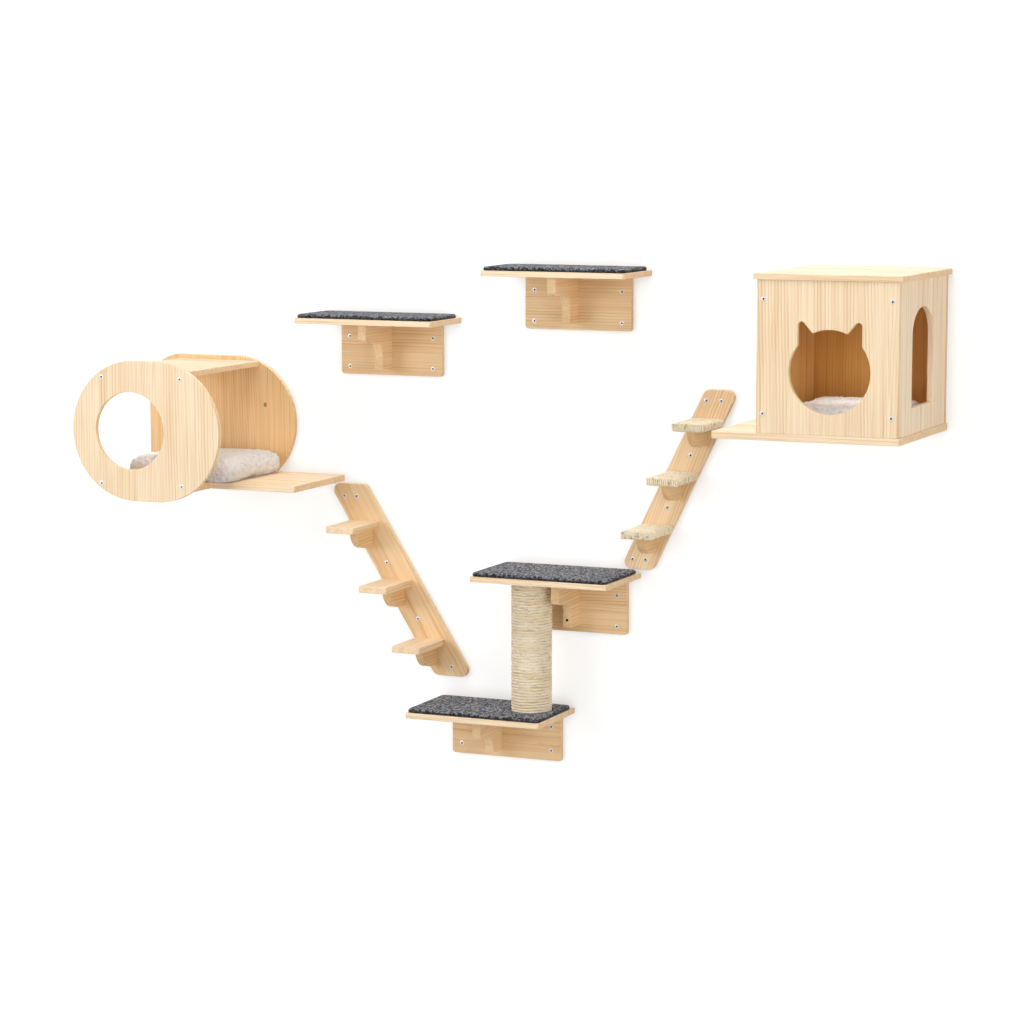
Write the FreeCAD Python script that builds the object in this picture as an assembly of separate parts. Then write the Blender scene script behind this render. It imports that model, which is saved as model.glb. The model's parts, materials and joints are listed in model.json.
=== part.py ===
import FreeCAD, Part
import math
import os

# A cat climbing set for a wall: a tunnel house, four shelves, a scratching post between the
# lower two, two ladders and a cat house. Millimetres. X runs to the right along the wall,
# the wall is the plane Y = 0, the pieces stand out to -Y, and Z is up. The origin is the
# centre of the four wall screws of the lower post shelf, on the wall.

os.makedirs("parts", exist_ok=True)
Vector = FreeCAD.Vector

# Stock that the modules share
board = 15.0
thick_board = 18.0
edge_ease = 1.2
overrun = 1.0
shortest_edge = 0.003

# Holes for the wall screws
screw_hole_radius = 2.6

# Carpet pads
pad_thickness = 11.0
pad_corner = 14.0
pad_inset = 4.0
pad_back_inset = 16.0
pad_play = 2.5

# Shelf boards, plates and brackets
shelf_corner = 9.0
plate_corner = 8.0
bracket_thickness = 24.0
bracket_short_of_plate = 20.0
bracket_lip = 14.0
bracket_cove = 34.0
bracket_stem = 62.0
bracket_hole_radius = 3.0
bracket_hole_depth = 24.0
bracket_hole_height = 20.0
upper_shelf_width = 408.0
upper_shelf_depth = 200.0
upper_plate_width = 305.0
upper_plate_drop = 147.0
upper_screw_span = 251.0
upper_first_row = 43.0
upper_row_span = 83.0
upper_bracket_shift = -9.0
upper_bracket_reach = 165.0
upper_bracket_nose = 50.0
lower_shelf_width = 392.0
lower_shelf_depth = 250.0
lower_plate_width = 324.0
lower_screw_span = 266.0
post_top_plate_drop = 154.0
post_top_first_row = 49.0
post_top_row_span = 84.0
post_foot_plate_drop = 134.0
post_foot_first_row = 40.0
post_foot_row_span = 66.0
lower_bracket_reach = 146.0
lower_bracket_nose = 62.0
post_foot_bracket_shift = -24.0
post_top_bracket_shift = 14.0

# Places of the shelves: board centre in X, board top in Z
left_shelf_x = -343.0
left_shelf_top = 1136.0
middle_shelf_x = 208.0
middle_shelf_top = 1275.0
post_top_shelf_x = 190.0
post_top_shelf_top = 469.0
post_foot_shelf_top = board + post_foot_first_row + post_foot_row_span / 2

# Scratching post
post_x = 118.0
post_out = 116.0
post_radius = 55.0
post_loops = 20
rope_thickness = 12.0
rope_sides = 4
rope_play = 0.3
rope_end_room = 0.8
rope_samples = 4

# Ladders
ladder_corner = 20.0
step_width = 86.0
step_depth = 158.0
step_corner = 8.0
corbel_thickness = 24.0
corbel_shift = 13.0
corbel_reach = 97.0
corbel_drop = 50.0
corbel_front = 10.0
corbel_foot = 28.0
corbel_bow_share = 0.72
left_ladder_gap = 7.0
left_ladder_foot_gap = 63.0
left_ladder_head_x = -538.2
left_ladder_width = 114.0
left_ladder_slope = -0.624
left_step_drop = 101.0
left_step_pitch = 158.0
left_step_inset = 5.0
right_ladder_bottom = 480.0
right_ladder_height = 487.0
right_ladder_x = 332.0
right_ladder_width = 93.0
right_ladder_slope = 0.485
right_step_drop = 76.0
right_step_pitch = 144.0
right_step_inset = 3.5
wrap_thickness = 4.0
wrapped_step = 21.0

# Tunnel house
tunnel_x = -879.0
tunnel_z = 835.0
tunnel_height = 380.0
tunnel_straight = 70.0
tunnel_width = tunnel_height + tunnel_straight
tunnel_depth = 430.0
tunnel_hole_radius = 105.0
tunnel_hole_shift = -48.0
tunnel_top_drop = 25.0
tunnel_floor_height = 31.0
wall_panel_corner = 100.0
wall_panel_rise = 12.0
wall_panel_reach = 12.0
landing_x = -486.0
landing_depth = 305.0
landing_corner = 5.0

# Cat house
house_x = 852.0
house_z = 903.0
house_width = 362.0
house_height = 378.0
house_depth = 430.0
base_left = 118.0
base_right = 4.0
base_corner = 8.0
roof_side = 10.0
roof_front = 4.0
head_radius = 104.0
head_height = 155.0
head_shift = 6.0
ear_tip_out = 82.0
ear_tip_up = 139.0
ear_outer_angle = 38.0
ear_inner_angle = 65.0
ear_tip_radius = 9.5
arch_width = 184.0
arch_foot = 65.0
arch_spring = 242.0
arch_rise = 67.0
arch_from_wall = 222.0

# Plush cushions
cushion_height = 60.0
cushion_corner = 30.0
cushion_gap = 7.0
cushion_play = 0.3
cushion_shares = [(0, 0.3), (0.3, 0), (0.78, 0.24), (1, 1.3)]
tunnel_cushion_start = 11.0
tunnel_cushion_length = 358.0
tunnel_cushion_front_gap = 50.0


def save(name, solids):
    """One STEP file for a piece, or for a group of like pieces."""
    shape = solids[0] if len(solids) == 1 else Part.makeCompound(solids)
    shape.exportStep(f"parts/{name}.step")


def rounded_wire(points, radii):
    """A closed wire through flat points, each corner rounded by its own radius."""
    places = [Vector(x, y, 0) for x, y in points]
    ends = []
    for i, corner in enumerate(places):
        before = (places[i - 1] - corner).normalize()
        after = (places[(i + 1) % len(places)] - corner).normalize()
        half = before.getAngle(after) / 2
        if radii[i] == 0:
            ends.append((corner, None, corner))
            continue
        run = radii[i] / math.tan(half)
        middle = corner + (before + after).normalize() * (radii[i] / math.sin(half) - radii[i])
        ends.append((corner + before * run, middle, corner + after * run))
    edges = []
    for i, (start, middle, end) in enumerate(ends):
        if middle is not None:
            edges.append(Part.Arc(start, middle, end).toShape())
        following = ends[(i + 1) % len(ends)][0]
        if end.distanceToPoint(following) > shortest_edge:
            edges.append(Part.LineSegment(end, following).toShape())
    return Part.Wire(edges)


def prism(points, radii, thickness):
    """A flat body on the plane Z = 0, with its corners rounded."""
    return Part.Face(rounded_wire(points, radii)).extrude(Vector(0, 0, thickness))


def slab(points, radii, thickness):
    """A flat board on the plane Z = 0. One with square corners has its edges eased."""
    solid = prism(points, radii, thickness)
    return solid if any(radii) else solid.makeChamfer(edge_ease, solid.Edges)


def rectangle(x0, x1, y0, y1):
    """Corner points of a rectangle, from the low corner round to the left."""
    return [(x0, y0), (x1, y0), (x1, y1), (x0, y1)]


def on_wall(solid, y_back):
    """Stands a flat board up, with its underside on the plane Y = y_back."""
    solid.rotate(Vector(0, 0, 0), Vector(1, 0, 0), 90)
    solid.translate(Vector(0, y_back, 0))
    return solid


def on_side(solid, x_left):
    """Stands a flat board up on its side: its X runs along Y and its thickness along X."""
    solid.rotate(Vector(0, 0, 0), Vector(1, 1, 1), 120)
    solid.translate(Vector(x_left, 0, 0))
    return solid


def bored(solid, places):
    """A board on the wall with holes for its wall screws."""
    for x, z in places:
        start = Vector(x, -board - overrun, z)
        solid = solid.cut(Part.makeCylinder(screw_hole_radius, board + 2 * overrun, start, Vector(0, 1, 0)))
    return solid


def grid(centre_x, span_x, centre_z, span_z):
    """Places of four wall screws at the corners of a rectangle."""
    return [(centre_x + i * span_x / 2, centre_z + j * span_z / 2) for i in (-1, 1) for j in (-1, 1)]


def carpet_pad(x0, x1, y0, z):
    """A carpet pad on a shelf board, clear of the wall."""
    points = rectangle(x0 + pad_inset, x1 - pad_inset, y0 + pad_inset, -pad_back_inset)
    pad = prism(points, [pad_corner] * 4, pad_thickness)
    pad.translate(Vector(0, 0, z))
    return pad


def cushion(x0, x1, y0, y1, z):
    """A plush cushion: a ruled loft that is crowned on top and draws in at the foot."""
    wires = []
    for height_share, inset_share in cushion_shares:
        inset = inset_share * cushion_corner
        points = rectangle(x0 + inset, x1 - inset, y0 + inset, y1 - inset)
        wire = rounded_wire(points, [cushion_corner] * 4)
        wire.translate(Vector(0, 0, z + cushion_play + cushion_height * height_share))
        wires.append(wire)
    return Part.makeLoft(wires, True, True)


def bracket_wire(drop, reach, nose):
    """The outline of a shelf bracket seen from its side: a nose with a round lip, a cove and a stem."""
    cove_start = bracket_stem + bracket_cove
    points = [
        (0, 0),
        (reach, 0),
        (reach, bracket_lip - nose),
        (reach - bracket_lip, -nose),
        (cove_start, -nose),
        (bracket_stem, -nose - bracket_cove),
        (bracket_stem, -drop),
        (0, -drop),
    ]
    lip_cut = bracket_lip * (1 - math.sqrt(0.5))
    cove_cut = bracket_cove * (1 - math.sqrt(0.5))
    middles = {
        2: (reach - lip_cut, lip_cut - nose),
        4: (bracket_stem + cove_cut, -nose - cove_cut),
    }
    places = [Vector(0, -out, up) for out, up in points]
    edges = []
    for i, place in enumerate(places):
        following = places[(i + 1) % len(places)]
        if i in middles:
            out, up = middles[i]
            edges.append(Part.Arc(place, Vector(0, -out, up), following).toShape())
        else:
            edges.append(Part.LineSegment(place, following).toShape())
    return Part.Wire(edges)


def bracket(centre_x, top, drop, size, with_hole):
    """A moulded bracket under a shelf board, against its wall plate."""
    solid = Part.Face(bracket_wire(drop, *size)).extrude(Vector(bracket_thickness, 0, 0))
    solid.translate(Vector(centre_x - bracket_thickness / 2, -board, top))
    if with_hole:
        front = Vector(centre_x, -board - bracket_stem - overrun, top - drop + bracket_hole_height)
        hole = Part.makeCylinder(bracket_hole_radius, bracket_hole_depth + overrun, front, Vector(0, 1, 0))
        solid = solid.cut(hole)
    return solid


def shelf(name, spec, pad_cut=None):
    """Board, carpet pad, wall plate and bracket of one shelf."""
    half = spec["width"] / 2
    under = spec["top"] - board
    points = rectangle(spec["x"] - half, spec["x"] + half, -spec["depth"], 0)
    top = slab(points, [shelf_corner, shelf_corner, 0, 0], board)
    top.translate(Vector(0, 0, under))
    save(f"{name}_board", [top])

    pad = carpet_pad(spec["x"] - half, spec["x"] + half, -spec["depth"], spec["top"])
    save(f"{name}_pad", [pad.cut(pad_cut) if pad_cut else pad])

    half_plate = spec["plate_width"] / 2
    points = rectangle(spec["x"] - half_plate, spec["x"] + half_plate, under - spec["drop"], under)
    plate = on_wall(slab(points, [plate_corner, plate_corner, 0, 0], board), 0)
    centre_z = under - spec["first_row"] - spec["row_span"] / 2
    holes = grid(spec["x"], spec["screw_span"], centre_z, spec["row_span"])
    save(f"{name}_wall_plate", [bored(plate, holes)])

    drop = spec["drop"] - bracket_short_of_plate
    centre = spec["x"] + spec["bracket_shift"]
    save(f"{name}_bracket", [bracket(centre, under, drop, spec["bracket_size"], spec["with_hole"])])


def shelf_spec(x, top, size, drop, first_row, row_span, bracket_shift, bracket_size, with_hole=False):
    """The sizes of one shelf in one place."""
    width, depth, plate_width, screw_span = size
    return {
        "x": x,
        "top": top,
        "width": width,
        "depth": depth,
        "plate_width": plate_width,
        "screw_span": screw_span,
        "drop": drop,
        "first_row": first_row,
        "row_span": row_span,
        "bracket_shift": bracket_shift,
        "bracket_size": bracket_size,
        "with_hole": with_hole,
    }


def half_turn_of_rope(radius, start_angle, start_z, pitch):
    """Two biarcs of a quarter turn each, on a helix about the Z axis."""
    lead = pitch / (2 * math.pi)
    places, tangents = [], []
    for quarter in range(3):
        angle = start_angle + quarter * math.pi / 2
        places.append(Vector(radius * math.cos(angle), radius * math.sin(angle),
                             start_z + quarter * pitch / 4))
        tangents.append(Vector(-radius * math.sin(angle), radius * math.cos(angle), lead).normalize())
    edges = []
    for i in range(2):
        edges += biarc(places[i], tangents[i], places[i + 1], tangents[i + 1])
    return edges


def biarc(start, start_way, end, end_way):
    """Two tangent arcs from one point and direction to another."""
    across = end - start
    ways = start_way + end_way
    spread = 2 * (1 - start_way.dot(end_way))
    reach = (math.sqrt(across.dot(ways) ** 2 + spread * across.dot(across)) - across.dot(ways)) / spread
    joint = (start + end + (start_way - end_way) * reach) * 0.5
    return [arc(start, start + start_way * reach, joint), arc(joint, end - end_way * reach, end)]


def arc(start, corner, end):
    """The arc that is tangent to both lines of a corner."""
    chord_middle = (start + end) * 0.5
    flat = (end - start).Length / (2 * (corner - start).Length)
    middle = chord_middle + (corner - chord_middle) * (flat / (1 + flat))
    return Part.Arc(start, middle, end).toShape()


def least_gap(edges, thickness):
    """Least gap between turns of a winding, measured on points along its middle line."""
    points = [point for edge in edges for point in edge.discretize(rope_samples)[1:]]
    turn = len(points) // post_loops
    distances = [
        points[i].distanceToPoint(points[j])
        for i in range(len(points))
        for j in range(i + turn // 2, min(i + turn + turn // 2, len(points)))
    ]
    return min(distances) - thickness


def post_rope(foot, head):
    """Rope wound round the post in one unbroken tube, from the foot to the head."""
    centre_radius = post_radius - rope_thickness / 2
    end_room = rope_end_room + rope_thickness / 2
    pitch = (head - foot - 2 * end_room) / post_loops
    lead_in = Vector(0, -1, -pitch / (2 * math.pi * centre_radius)).normalize() * rope_thickness
    first = Vector(centre_radius, 0, foot + end_room)
    last = Vector(centre_radius, 0, head - end_room)
    edges = []
    for half in range(2 * post_loops):
        edges += half_turn_of_rope(centre_radius, half * math.pi, first.z + half * pitch / 2, pitch)
    gap = least_gap(edges, rope_thickness)
    edges.insert(0, Part.LineSegment(first + lead_in, first).toShape())
    edges.append(Part.LineSegment(last, last - lead_in).toShape())
    side = Vector(1, 0, 0)
    across = (lead_in * 1).normalize().cross(side)
    section = []
    for corner in range(rope_sides):
        angle = 2 * math.pi * corner / rope_sides
        spoke = (side * math.cos(angle) + across * math.sin(angle)) * (rope_thickness / 2)
        section.append(first + lead_in + spoke)
    profile = Part.makePolygon(section + section[:1])
    rope = Part.Wire(edges).makePipeShell([profile], True, False)
    rope.translate(Vector(post_x, -post_out, 0))
    length = sum(edge.Length for edge in edges)
    print(f"post rope: {post_loops} loops, {length:.0f} long, least gap to itself {gap:.2f}")
    return rope


def post(foot, head):
    """Wooden core of the scratching post. Returns the rope that is wound round it."""
    core_radius = post_radius - rope_thickness - rope_play
    centre = Vector(post_x, -post_out, foot)
    save("post_core", [Part.makeCylinder(core_radius, head - foot, centre, Vector(0, 0, 1))])
    return post_rope(foot, head)


def ladder_spec(bottom, height, x, width, slope, step_drop, pitch, inset, thickness, cover):
    """The sizes of one ladder in one place."""
    return {
        "bottom": bottom,
        "height": height,
        "x": x,
        "width": width,
        "slope": slope,
        "first_step": height - step_drop,
        "pitch": pitch,
        "inset": inset,
        "thickness": thickness,
        "cover": cover,
    }


def ladder_left(spec, height):
    """Left edge of a ladder board at a height above its lower end."""
    return spec["x"] + spec["slope"] * height


def step_places(spec):
    """Left edge and top of each step, from the highest down."""
    heights = [spec["first_step"] - k * spec["pitch"] for k in range(3)]
    return [(ladder_left(spec, height) + spec["inset"], spec["bottom"] + height) for height in heights]


def corbel(centre_x, top):
    """A rounded block under a step."""
    places = [
        Vector(0, 0, 0),
        Vector(0, -corbel_reach, 0),
        Vector(0, -corbel_reach, -corbel_front),
        Vector(0, -corbel_foot, -corbel_drop),
        Vector(0, 0, -corbel_drop),
    ]
    chord = places[3] - places[2]
    bow = places[2] + Vector(0, chord.y * (1 - corbel_bow_share), chord.z * corbel_bow_share)
    edges = [
        Part.LineSegment(places[0], places[1]).toShape(),
        Part.LineSegment(places[1], places[2]).toShape(),
        Part.Arc(places[2], bow, places[3]).toShape(),
        Part.LineSegment(places[3], places[4]).toShape(),
        Part.LineSegment(places[4], places[0]).toShape(),
    ]
    solid = Part.Face(Part.Wire(edges)).extrude(Vector(corbel_thickness, 0, 0))
    solid.translate(Vector(centre_x - corbel_thickness / 2, -board, top))
    return solid


def step(left, top, thickness, width, depth, corner):
    """One step board, its front corners rounded."""
    points = rectangle(left, left + width, -board - depth, -board)
    solid = slab(points, [corner, corner, 0, 0], thickness)
    solid.translate(Vector(0, 0, top - thickness))
    return solid


def step_wrap(left, top, spec):
    """Sisal wound round a step, its long edges blunted: a sleeve that is closed in front."""
    cover = spec["cover"]
    right, low = left + step_width, top - spec["thickness"]
    front = -board - step_depth
    points = [
        (left + cover, low), (right - cover, low), (right, low + cover), (right, top - cover),
        (right - cover, top), (left + cover, top), (left, top - cover), (left, low + cover),
    ]
    outline = Part.makePolygon([Vector(x, front, z) for x, z in points + points[:1]])
    sleeve = Part.Face(outline).extrude(Vector(0, step_depth - rope_play, 0))
    room = Part.makeBox(step_width - 2 * cover, step_depth, spec["thickness"] - 2 * cover,
                        Vector(left + cover, front + cover, low + cover))
    return sleeve.cut(room)


def ladder(name, spec):
    """Board, steps and corbels of one ladder. Returns the wraps of its steps."""
    left, right = spec["x"], spec["x"] + spec["width"]
    lean = spec["slope"] * spec["height"]
    low, high = spec["bottom"], spec["bottom"] + spec["height"]
    points = [(left, low), (right, low), (right + lean, high), (left + lean, high)]
    save(f"{name}_board", [on_wall(slab(points, [ladder_corner] * 4, board), 0)])
    cover = spec["cover"]
    wraps, corbels = [], []
    for number, (step_left, top) in enumerate(step_places(spec), 1):
        body = step(step_left + cover, top - cover, spec["thickness"] - 2 * cover,
                    step_width - 2 * cover, step_depth - cover, 0 if cover else step_corner)
        save(f"{name}_step_{number}", [body])
        if cover:
            wraps.append(step_wrap(step_left, top, spec))
        middle = step_left + step_width / 2 - math.copysign(corbel_shift, spec["slope"])
        corbels.append(corbel(middle, top - spec["thickness"]))
    save(f"{name}_corbels", corbels)
    return wraps


def tunnel_panel(top, left_radius, reach):
    """A standing panel of the tunnel, from its foot to a top, round at the right end."""
    foot = tunnel_z - tunnel_height / 2
    half_width, half_height = tunnel_width / 2, (top - foot) / 2
    points = rectangle(tunnel_x - half_width, tunnel_x + half_width + reach, foot, top)
    return slab(points, [left_radius, half_height, half_height, left_radius], board)


def half_chord(z):
    """Half the width of the round-ended panel at a height, less the eased edge."""
    radius = tunnel_height / 2
    return tunnel_width / 2 - radius + math.sqrt(radius ** 2 - (z - tunnel_z) ** 2) - edge_ease


def tunnel():
    """The tunnel house: a panel with a round hole, a wall panel, a top and a floor with its landing."""
    foot = tunnel_z - tunnel_height / 2
    top = tunnel_z + tunnel_height / 2 - tunnel_top_drop
    under = foot + tunnel_floor_height
    inner_front = board - tunnel_depth

    panel = on_wall(tunnel_panel(foot + tunnel_height, tunnel_height / 2, 0), inner_front)
    hole = Part.makeCylinder(tunnel_hole_radius, board + 2 * overrun,
                             Vector(tunnel_x + tunnel_hole_shift, -tunnel_depth - overrun, tunnel_z),
                             Vector(0, 1, 0))
    save("tunnel_front_panel", [panel.cut(hole)])
    back_panel = tunnel_panel(top + wall_panel_rise, wall_panel_corner, wall_panel_reach)
    save("tunnel_wall_panel", [on_wall(back_panel, 0)])

    half = half_chord(top)
    points = rectangle(tunnel_x - half, tunnel_x + half, inner_front, -board)
    lid = slab(points, [0, 0, 0, 0], board)
    lid.translate(Vector(0, 0, top - board))
    save("tunnel_top_board", [lid])

    half = half_chord(under)
    left, notch = tunnel_x - half, tunnel_x + half
    landing_front = -board - landing_depth
    points = [
        (left, inner_front), (notch, inner_front), (notch, landing_front),
        (landing_x, landing_front), (landing_x, -board), (left, -board),
    ]
    base = slab(points, [0, 0, 0, landing_corner, landing_corner, 0], thick_board)
    base.translate(Vector(0, 0, under))
    save("tunnel_floor_board", [base])

    start = left + tunnel_cushion_start
    save("tunnel_cushion", [cushion(start, start + tunnel_cushion_length,
                                    inner_front + tunnel_cushion_front_gap, -board - cushion_gap,
                                    under + thick_board)])


def ear(side):
    """One pointed ear of the head opening, on the plane of the front panel."""
    centre = (house_x + house_width / 2 + head_shift, house_z + head_height)
    tip = (centre[0] + side * ear_tip_out, centre[1] + ear_tip_up)
    feet = []
    for angle in (ear_outer_angle, ear_inner_angle):
        out = side * head_radius * math.cos(math.radians(angle))
        up = head_radius * math.sin(math.radians(angle))
        feet.append((centre[0] + out, centre[1] + up))
    points = [feet[0], tip, feet[1], centre]
    if side < 0:
        points.reverse()
    radii = [ear_tip_radius if point == tip else 0 for point in points]
    return prism(points, radii, board + 2 * overrun)


def arch_opening():
    """The arched window of the right panel, as a body to cut it with."""
    front, back = -arch_from_wall - arch_width / 2, -arch_from_wall + arch_width / 2
    low, spring = house_z + arch_foot, house_z + arch_spring
    corners = [Vector(front, spring, 0), Vector(front, low, 0), Vector(back, low, 0), Vector(back, spring, 0)]
    top = Part.Ellipse(Vector(-arch_from_wall, spring, 0), arch_width / 2, arch_rise)
    edges = [Part.LineSegment(corners[i], corners[i + 1]).toShape() for i in range(3)]
    edges.append(Part.ArcOfEllipse(top, 0, math.pi).toShape())
    return Part.Face(Part.Wire(edges)).extrude(Vector(0, 0, board + 2 * overrun))


def house():
    """The cat house: four panels between a roof and a base that runs on to the left."""
    left, right = house_x, house_x + house_width
    top = house_z + house_height
    front = -house_depth
    inner_front = front + board
    square = [0, 0, 0, 0]

    face = rectangle(left, right, house_z, top)
    panel = on_wall(slab(face, square, board), inner_front)
    head_place = Vector((left + right) / 2 + head_shift, front - overrun, house_z + head_height)
    panel = panel.cut(Part.makeCylinder(head_radius, board + 2 * overrun, head_place, Vector(0, 1, 0)))
    for side in (-1, 1):
        panel = panel.cut(on_wall(ear(side), inner_front + overrun))
    save("house_front_panel", [panel])
    save("house_back_panel", [on_wall(slab(face, square, board), 0)])

    side = rectangle(inner_front, -board, house_z, top)
    save("house_left_panel", [on_side(slab(side, square, board), left)])
    right_panel = on_side(slab(side, square, board), right - board)
    save("house_right_panel", [right_panel.cut(on_side(arch_opening(), right - board - overrun))])

    roof = slab(rectangle(left - roof_side, right + roof_side, front - roof_front, 0), square, board)
    roof.translate(Vector(0, 0, top))
    save("house_roof_board", [roof])
    points = rectangle(left - base_left, right + base_right, front, 0)
    base = slab(points, [base_corner, 0, 0, base_corner], thick_board)
    base.translate(Vector(0, 0, house_z - thick_board))
    save("house_base_board", [base])

    save("house_cushion", [cushion(left + board + cushion_gap, right - board - cushion_gap,
                                   inner_front + cushion_gap, -board - cushion_gap, house_z)])


def main():
    upper = (upper_shelf_width, upper_shelf_depth, upper_plate_width, upper_screw_span)
    lower = (lower_shelf_width, lower_shelf_depth, lower_plate_width, lower_screw_span)
    upper_bracket = (upper_bracket_reach, upper_bracket_nose)
    lower_bracket = (lower_bracket_reach, lower_bracket_nose)
    rows = (upper_plate_drop, upper_first_row, upper_row_span, upper_bracket_shift, upper_bracket)
    shelf("left_shelf", shelf_spec(left_shelf_x, left_shelf_top, upper, *rows))
    shelf("middle_shelf", shelf_spec(middle_shelf_x, middle_shelf_top, upper, *rows))
    shelf("post_top_shelf", shelf_spec(post_top_shelf_x, post_top_shelf_top, lower, post_top_plate_drop,
                                       post_top_first_row, post_top_row_span,
                                       post_top_bracket_shift, lower_bracket, True))
    foot, head = post_foot_shelf_top, post_top_shelf_top - board
    pad_cut = Part.makeCylinder(post_radius + pad_play, pad_thickness + 2 * overrun,
                                Vector(post_x, -post_out, foot - overrun), Vector(0, 0, 1))
    foot_spec = shelf_spec(0, post_foot_shelf_top, lower, post_foot_plate_drop,
                           post_foot_first_row, post_foot_row_span, post_foot_bracket_shift, lower_bracket)
    shelf("post_foot_shelf", foot_spec, pad_cut)

    windings = [post(foot, head)]
    landing_under = tunnel_z - tunnel_height / 2 + tunnel_floor_height
    left_ladder_bottom = post_foot_shelf_top + left_ladder_foot_gap
    left_ladder_height = landing_under - left_ladder_gap - left_ladder_bottom
    left_ladder_x = left_ladder_head_x - left_ladder_slope * left_ladder_height
    left_steps = ladder_spec(left_ladder_bottom, left_ladder_height, left_ladder_x, left_ladder_width,
                             left_ladder_slope, left_step_drop, left_step_pitch, left_step_inset,
                             thick_board, 0)
    right_steps = ladder_spec(right_ladder_bottom, right_ladder_height, right_ladder_x, right_ladder_width,
                              right_ladder_slope, right_step_drop, right_step_pitch, right_step_inset,
                              wrapped_step, wrap_thickness)
    windings += ladder("left_ladder", left_steps)
    windings += ladder("right_ladder", right_steps)
    save("sisal_windings", windings)
    tunnel()
    house()


main()
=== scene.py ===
import json
import math
import bpy
from bpy.props import FloatProperty, FloatVectorProperty, PointerProperty
from mathutils import Matrix, Vector


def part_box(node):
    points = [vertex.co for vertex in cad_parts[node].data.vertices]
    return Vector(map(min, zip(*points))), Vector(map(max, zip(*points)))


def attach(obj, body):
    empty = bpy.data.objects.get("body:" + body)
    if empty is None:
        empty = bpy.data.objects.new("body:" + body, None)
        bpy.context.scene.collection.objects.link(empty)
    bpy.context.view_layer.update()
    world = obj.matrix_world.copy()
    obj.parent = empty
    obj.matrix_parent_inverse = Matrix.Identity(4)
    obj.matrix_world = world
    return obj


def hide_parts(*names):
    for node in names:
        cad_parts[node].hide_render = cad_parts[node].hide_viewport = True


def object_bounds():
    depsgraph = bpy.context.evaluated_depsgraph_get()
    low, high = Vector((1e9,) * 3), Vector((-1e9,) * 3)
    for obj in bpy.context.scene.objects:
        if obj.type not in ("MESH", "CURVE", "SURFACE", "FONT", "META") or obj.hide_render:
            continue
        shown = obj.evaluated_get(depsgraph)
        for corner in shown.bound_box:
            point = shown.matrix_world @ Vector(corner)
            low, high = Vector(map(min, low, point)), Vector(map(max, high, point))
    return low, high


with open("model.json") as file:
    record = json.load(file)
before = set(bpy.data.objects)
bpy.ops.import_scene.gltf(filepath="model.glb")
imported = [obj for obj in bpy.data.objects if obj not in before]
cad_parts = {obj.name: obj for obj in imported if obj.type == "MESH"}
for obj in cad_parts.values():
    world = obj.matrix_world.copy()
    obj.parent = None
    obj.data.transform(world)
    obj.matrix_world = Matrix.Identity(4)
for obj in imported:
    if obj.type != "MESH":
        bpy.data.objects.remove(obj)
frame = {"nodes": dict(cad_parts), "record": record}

bl_info = {
    "name": "Cat climbing wall",
    "version": (1, 0, 0),
    "blender": (4, 5, 0),
    "location": "View3D > Sidebar > Climbing wall",
    "description": "Dresses the packed cat climbing set in pine, carpet, plush and sisal",
    "category": "Object",
}

CAD_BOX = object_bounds()
X, Y, Z = Vector((1, 0, 0)), Vector((0, 1, 0)), Vector((0, 0, 1))
FRAME_BODY = "frame"
HAIR = 0.0001       # metres: two heights that differ by less are the same


# Sizes and colours that a user may change

COLOUR = {"subtype": "COLOR", "size": 3, "min": 0, "max": 1}


class WoodSettings(bpy.types.PropertyGroup):
    edge: FloatProperty(name="Edge rounding", description="Radius of the sanded edges of a board",
                        default=0.0016, min=0.0002, max=0.004, unit="LENGTH")
    ring: FloatProperty(name="Ring width", description="Width of one year's growth across the log",
                        default=0.0080, min=0.002, max=0.02, unit="LENGTH")
    pale: FloatVectorProperty(name="Early wood", description="Colour of the pale bands",
                              default=(0.95, 0.775, 0.555), **COLOUR)
    warm: FloatVectorProperty(name="Late wood", description="Colour of the darker lines",
                              default=(0.72, 0.45, 0.215), **COLOUR)
    # Honey is also the colour of painted shade: on the boards' flanks and inside the house
    honey: FloatVectorProperty(name="Honey", description="What age multiplies a board's colour by",
                               default=(0.87, 0.68, 0.41), **COLOUR)
    knot: FloatVectorProperty(name="Knot", description="Colour in the heart of a knot",
                              default=(0.20, 0.085, 0.03), **COLOUR)


class CarpetSettings(bpy.types.PropertyGroup):
    corner: FloatProperty(name="Corner", description="Radius of a pad's corners in plan",
                          default=0.014, min=0.002, max=0.04, unit="LENGTH")
    grain: FloatProperty(name="Voxel", description="Size of the mesh that a pad is remade with",
                         default=0.0026, min=0.002, max=0.01, unit="LENGTH")
    pile: FloatProperty(name="Pile", description="Height of the loops above the backing",
                        default=0.0007, min=0, max=0.004, unit="LENGTH")
    yarn: FloatVectorProperty(name="Yarn", description="Colour of the charcoal yarn",
                              default=(0.022, 0.023, 0.028), **COLOUR)
    fleck: FloatVectorProperty(name="Fleck", description="Colour of the pale flecks in the yarn",
                               default=(0.285, 0.30, 0.34), **COLOUR)


class PlushSettings(bpy.types.PropertyGroup):
    voxel: FloatProperty(name="Voxel", description="Size of the mesh that is blown up as cloth",
                         default=0.0055, min=0.004, max=0.01, unit="LENGTH")
    pressure: FloatProperty(name="Pressure", description="Pressure of the filling",
                            default=4.0, min=0, max=20)
    swell: FloatProperty(name="Swell", description="How far the filling may push the cover out",
                         default=0.010, min=0, max=0.03, unit="LENGTH")
    tuft: FloatProperty(name="Tufts", description="Height of the curls of the fleece",
                        default=0.0062, min=0, max=0.012, unit="LENGTH")
    fleece: FloatVectorProperty(name="Fleece", description="Colour of the curls",
                                default=(0.95, 0.915, 0.885), **COLOUR)
    # Colour of the painted shade between the curls, and of the random smudges
    hollow_shade_and_smudge: FloatVectorProperty(name="Hollow", description="Colour between the curls",
                                default=(0.76, 0.71, 0.67), **COLOUR)


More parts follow.
